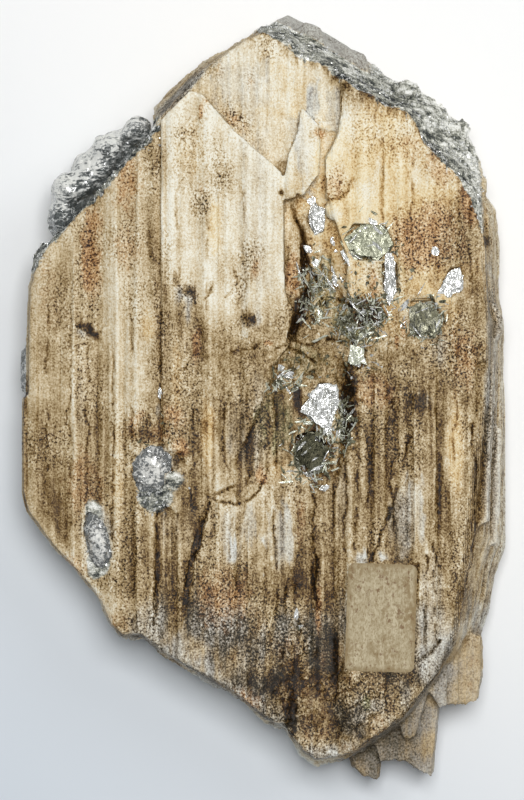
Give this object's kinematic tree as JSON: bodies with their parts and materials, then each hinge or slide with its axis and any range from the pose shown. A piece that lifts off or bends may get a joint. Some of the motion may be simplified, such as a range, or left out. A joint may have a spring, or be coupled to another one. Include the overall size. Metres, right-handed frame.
{
  "type": "spodumene crystal",
  "caption": "Flattened striated crystal lying on its back face, with glassy quartz on one edge, silvery mica let into its front and a bare aged paper label.",
  "frame": {"origin": "middle of the underside of the bounding box, on the surface that the crystal rests on", "axes": "+Y along the crystal's long axis towards its pointed end, +Z out of the striated front face"},
  "size_m": [0.1214, 0.192, 0.0411],
  "materials": {
    "spodumene": "satin",
    "quartz": "gloss",
    "muscovite": "gloss",
    "paper": "matte"
  },
  "bodies": {
    "root": {"spodumene_crystal": "spodumene", "quartz_crust": "quartz", "quartz_grain_left": "quartz", "quartz_grain_lower": "quartz", "quartz_sliver_edge": "quartz", "muscovite_book_centre": "muscovite", "muscovite_book_lower": "muscovite", "muscovite_book_green": "muscovite", "muscovite_blade_right": "muscovite", "muscovite_book_right": "muscovite", "muscovite_flake_right": "muscovite", "muscovite_flake_small": "muscovite", "muscovite_shard_upper": "muscovite", "paper_label": "paper"}
  },
  "joints": []
}
